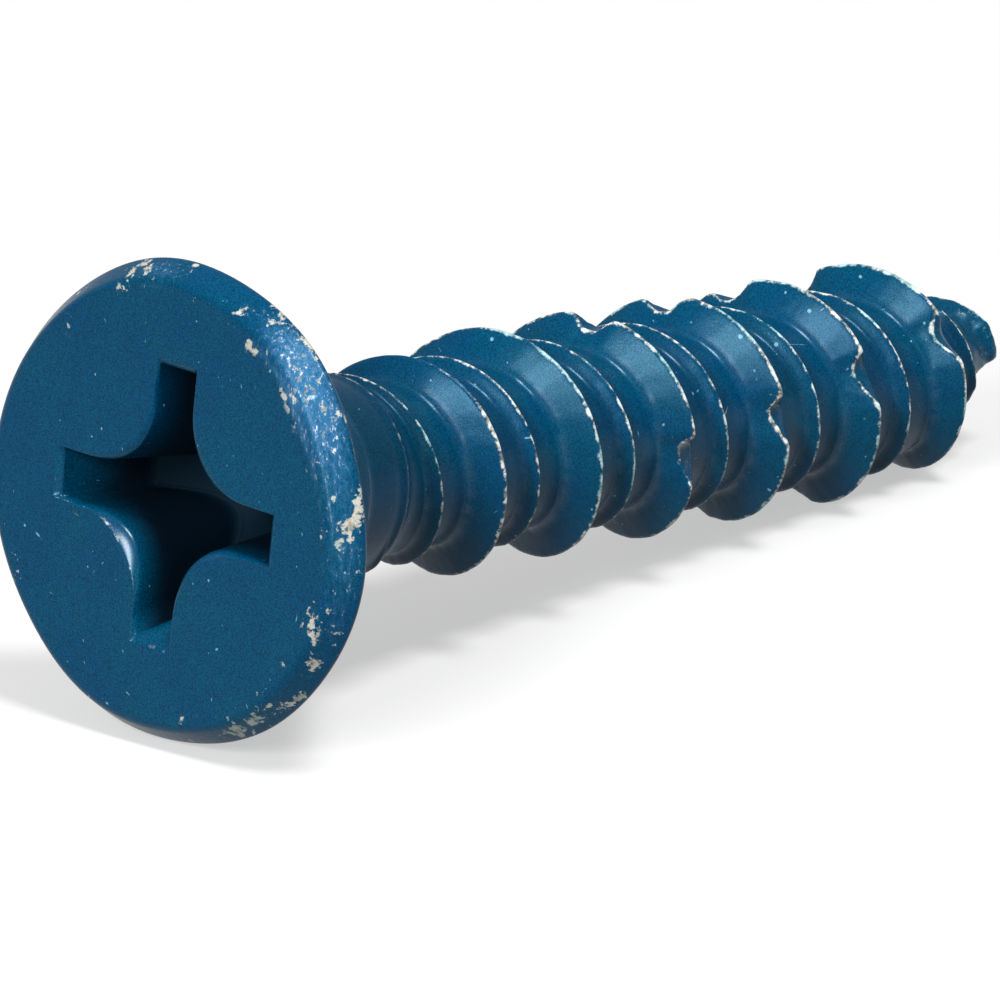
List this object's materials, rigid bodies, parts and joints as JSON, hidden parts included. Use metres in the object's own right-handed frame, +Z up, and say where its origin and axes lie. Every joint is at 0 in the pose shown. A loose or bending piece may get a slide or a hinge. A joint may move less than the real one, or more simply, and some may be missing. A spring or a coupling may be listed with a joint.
{
  "type": "concrete screw anchor",
  "caption": "Flat-head concrete screw with a cross recess, a notched high-low thread and a blunt tip, in worn blue coating.",
  "frame": {"origin": "on the floor, under the middle of the lying screw's box", "axes": "+X along the screw from head to tip as it lies, +Z up; the axis dips towards the tip because the screw lies on its rim and a crest"},
  "size_m": [0.0323, 0.0122, 0.0122],
  "materials": {
    "coated_steel": "semi-gloss blue coating, worn pale at the crests and rim"
  },
  "bodies": {
    "root": {"screw": "coated_steel"}
  },
  "joints": []
}
